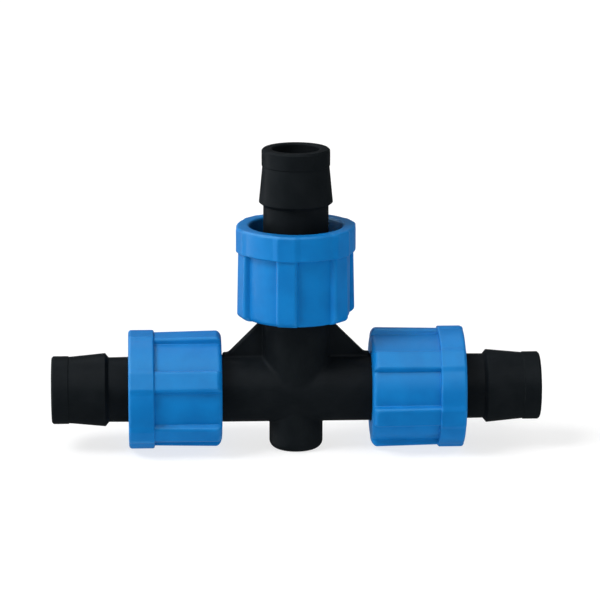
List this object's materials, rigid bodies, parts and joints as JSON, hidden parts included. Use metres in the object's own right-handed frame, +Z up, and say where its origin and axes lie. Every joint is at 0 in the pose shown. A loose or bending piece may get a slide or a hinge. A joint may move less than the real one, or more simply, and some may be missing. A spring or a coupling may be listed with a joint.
{
  "type": "drip tape tee fitting",
  "caption": "Black moulded tee for 16 mm drip tape with barbed spigots, gusset webs and a foot, and a blue ribbed lock nut captive on each neck.",
  "frame": {"origin": "middle of the flat underside of the foot, on the surface that the fitting stands on", "axes": "+X along the run towards the right lock nut, +Z up along the branch, +Y away from the side that is seen from the front"},
  "size_m": [0.1132, 0.0282, 0.0708],
  "materials": {
    "black_pp": "satin moulded polypropylene, black",
    "blue_pp": "satin moulded polypropylene, mid blue"
  },
  "bodies": {
    "tee": {"tee_body": "black_pp"},
    "left_nut": {"left_lock_nut": "blue_pp"},
    "right_nut": {"right_lock_nut": "blue_pp"},
    "branch_nut": {"branch_lock_nut": "blue_pp"}
  },
  "joints": [
    {"name": "left_nut_slide", "type": "slide", "parent": "tee", "child": "left_nut", "axis": [-1, 0, 0], "range_m": [0, 0.024]},
    {"name": "right_nut_slide", "type": "slide", "parent": "tee", "child": "right_nut", "axis": [1, 0, 0], "range_m": [0, 0.024]},
    {"name": "branch_nut_slide", "type": "slide", "parent": "tee", "child": "branch_nut", "axis": [0, 0, 1], "range_m": [0, 0.024]}
  ]
}
